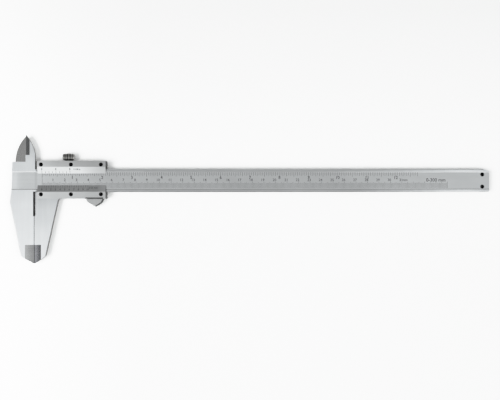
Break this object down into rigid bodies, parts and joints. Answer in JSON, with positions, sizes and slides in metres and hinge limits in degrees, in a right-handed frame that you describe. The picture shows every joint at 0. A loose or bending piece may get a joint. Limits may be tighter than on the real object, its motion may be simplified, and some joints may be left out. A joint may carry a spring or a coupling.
{
  "type": "vernier caliper",
  "caption": "Long sliding vernier caliper with outside jaws, crossing inside jaws, screwed vernier plates, thumb rest, knurled lock screw and a depth rod.",
  "frame": {"origin": "point where the outside jaws' contact plane meets the beam's lower edge, in the plane of the slider's back", "axes": "+X along the beam to its free end, +Y towards the inside jaws, +Z out of the scale face"},
  "size_m": [0.4145, 0.1098, 0.0098],
  "materials": {
    "beam_steel": "satin ground stainless steel",
    "slider_steel": "satin ground stainless steel",
    "plate_steel": "satin stainless steel with cut graduations",
    "black_oxide": "black oxide",
    "dark_steel": "blackened knurled steel",
    "grey_steel": "plain turned or rolled steel",
    "gib_brass": "plain brass"
  },
  "bodies": {
    "beam": {"main_beam": "beam_steel", "end_stop_plate": "grey_steel", "end_stop_screws": "black_oxide"},
    "slider": {"slider_body": "slider_steel", "inch_vernier_plate": "plate_steel", "mm_vernier_plate": "plate_steel", "inch_plate_screws": "black_oxide", "mm_plate_screws": "black_oxide", "gib_strip": "gib_brass", "gib_set_screws": "dark_steel", "thumb_rest": "grey_steel", "thumb_rest_pins": "grey_steel", "depth_rod": "grey_steel", "depth_rod_rivets": "grey_steel"},
    "lock_pad": {"lock_pad": "gib_brass"},
    "lock_screw": {"lock_stud": "grey_steel", "lock_knob": "dark_steel"}
  },
  "joints": [
    {"name": "slider_travel", "type": "slide", "parent": "beam", "child": "slider", "axis": [1, 0, 0], "range_m": [0, 0.32]},
    {"name": "lock_press", "type": "slide", "parent": "slider", "child": "lock_pad", "axis": [0, -1, 0], "range_m": [0, 0.00035]},
    {"name": "lock_turn", "type": "hinge", "parent": "lock_pad", "child": "lock_screw", "pos_m": [0.0289, 0.0265, 0.00495], "axis": [0, -1, 0], "range_deg": [0, 252]}
  ],
  "couplings": [
    {"joint": "lock_turn", "follows": "lock_press", "rad_per_m": 12566}
  ]
}
